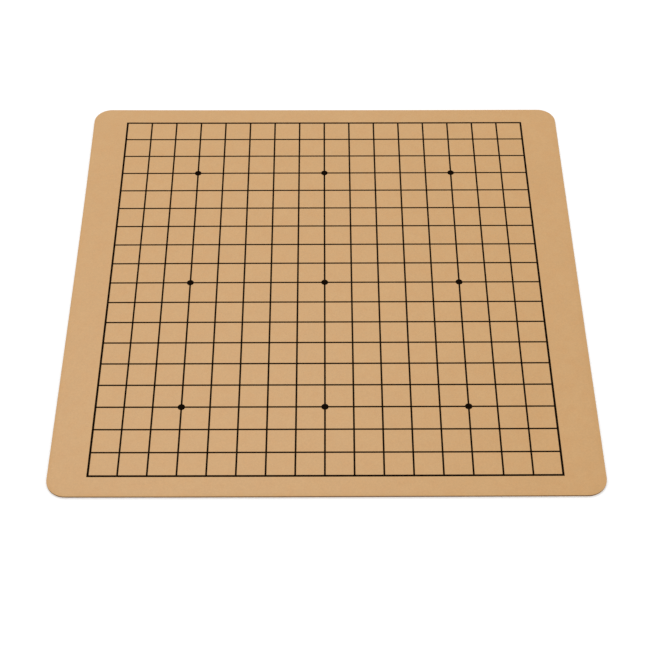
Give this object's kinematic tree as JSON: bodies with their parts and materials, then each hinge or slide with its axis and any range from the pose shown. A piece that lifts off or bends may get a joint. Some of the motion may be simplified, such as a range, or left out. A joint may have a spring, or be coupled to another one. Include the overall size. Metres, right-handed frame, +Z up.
{
  "type": "go board",
  "caption": "Flat, flexible go board of synthetic leather sheets glued back to back, with rounded corners and a stamped playing grid on each face.",
  "frame": {"origin": "centre of the underside, on the surface that the board lies on", "axes": "+Z up out of the front face, +Y towards the far edge along the 19 rows, +X to the right along the 17 columns"},
  "size_m": [0.4654, 0.4658, 0.002],
  "materials": {
    "leatherette": "matte",
    "base_cloth": "matte",
    "glue": "matte",
    "ink": "matte"
  },
  "bodies": {
    "root": {"front_skin": "leatherette", "front_base_cloth": "base_cloth", "glue_film": "glue", "reverse_base_cloth": "base_cloth", "reverse_skin": "leatherette", "front_border": "ink", "front_grid_lines": "ink", "front_star_points": "ink", "reverse_border": "ink", "reverse_grid_lines": "ink", "reverse_star_points": "ink"}
  },
  "joints": []
}
